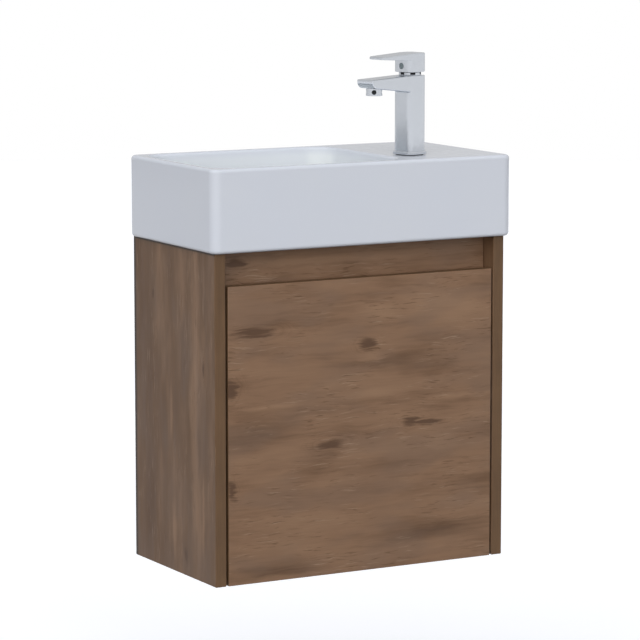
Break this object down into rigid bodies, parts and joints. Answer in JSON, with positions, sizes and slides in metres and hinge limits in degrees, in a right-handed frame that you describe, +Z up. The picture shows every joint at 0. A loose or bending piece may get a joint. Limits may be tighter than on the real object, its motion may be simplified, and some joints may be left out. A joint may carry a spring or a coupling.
{
  "type": "vanity unit with basin",
  "caption": "Wall-hung vanity unit: rectangular ceramic basin with a side tap deck and lever mixer, on a wood-decor cabinet with a hinged slab door.",
  "frame": {"origin": "midway between the two wall fixings in the upper rear rail, on the wall plane", "axes": "+X to the right seen from the room, +Y into the wall, +Z up"},
  "size_m": [0.454, 0.25, 0.6872],
  "materials": {
    "decor": "matt wood decor",
    "dowel_wood": "raw beech",
    "steel": "nickel plated",
    "ceramic": "white glaze",
    "chrome": "polished",
    "rubber": "matt",
    "brass": "turned",
    "plastic": "moulded",
    "dark_plastic": "moulded",
    "cap_plastic": "moulded"
  },
  "bodies": {
    "unit": {"left_side_panel": "decor", "right_side_panel": "decor", "bottom_panel": "decor", "rear_top_rail": "decor", "rear_bottom_rail": "decor", "front_top_rail": "decor", "panel_dowels": "dowel_wood", "cam_bolts": "steel", "cam_locks": "steel", "hinge_plate_upper": "steel", "hinge_plate_lower": "steel", "hinge_arm_upper": "steel", "hinge_arm_lower": "steel", "hinge_plate_screws": "steel", "hinge_arm_screws": "steel", "tap_fixing_stud": "steel", "tap_steel_washer": "steel", "basin": "ceramic", "waste_body": "chrome", "tap_base_ring": "chrome", "tap_body": "chrome", "aerator_housing": "chrome", "neck_ring": "chrome", "waste_top_washer": "rubber", "waste_lower_washer": "rubber", "tap_base_seal": "rubber", "tap_rubber_washer": "rubber", "aerator_washer": "rubber", "neck_seal": "rubber", "waste_backnut": "brass", "tap_fixing_nut": "brass", "cartridge_nut": "brass", "clicker_cartridge": "plastic", "aerator_screen": "dark_plastic", "cartridge_body": "dark_plastic"},
    "door": {"door_panel": "decor", "hinge_cup_upper": "steel", "hinge_cup_lower": "steel", "hinge_pin_upper": "steel", "hinge_pin_lower": "steel", "hinge_cup_screws": "steel", "door_bumpers": "rubber"},
    "swivel": {"cartridge_carrier": "dark_plastic", "stem_pin": "steel"},
    "lever": {"cartridge_stem": "brass", "lever_handle": "chrome", "lever_grub_screw": "steel", "lever_index_cap": "cap_plastic"},
    "plug": {"waste_plug": "chrome", "plug_seal": "rubber"}
  },
  "joints": [
    {"name": "door_swing", "type": "hinge", "parent": "unit", "child": "door", "pos_m": [0.188, -0.232, -0.192], "axis": [0, 0, 1], "range_deg": [0, 100]},
    {"name": "lever_swivel", "type": "hinge", "parent": "unit", "child": "swivel", "pos_m": [0.107, -0.18, 0.265], "axis": [0, 0, 1], "range_deg": [-45, 45]},
    {"name": "lever_lift", "type": "hinge", "parent": "swivel", "child": "lever", "pos_m": [0.107, -0.18, 0.265], "axis": [-0.2588, 0.9659, 0], "range_deg": [0, 15]},
    {"name": "plug_slide", "type": "slide", "parent": "unit", "child": "plug", "axis": [0, 0, 1], "range_m": [0, 0.008]}
  ]
}
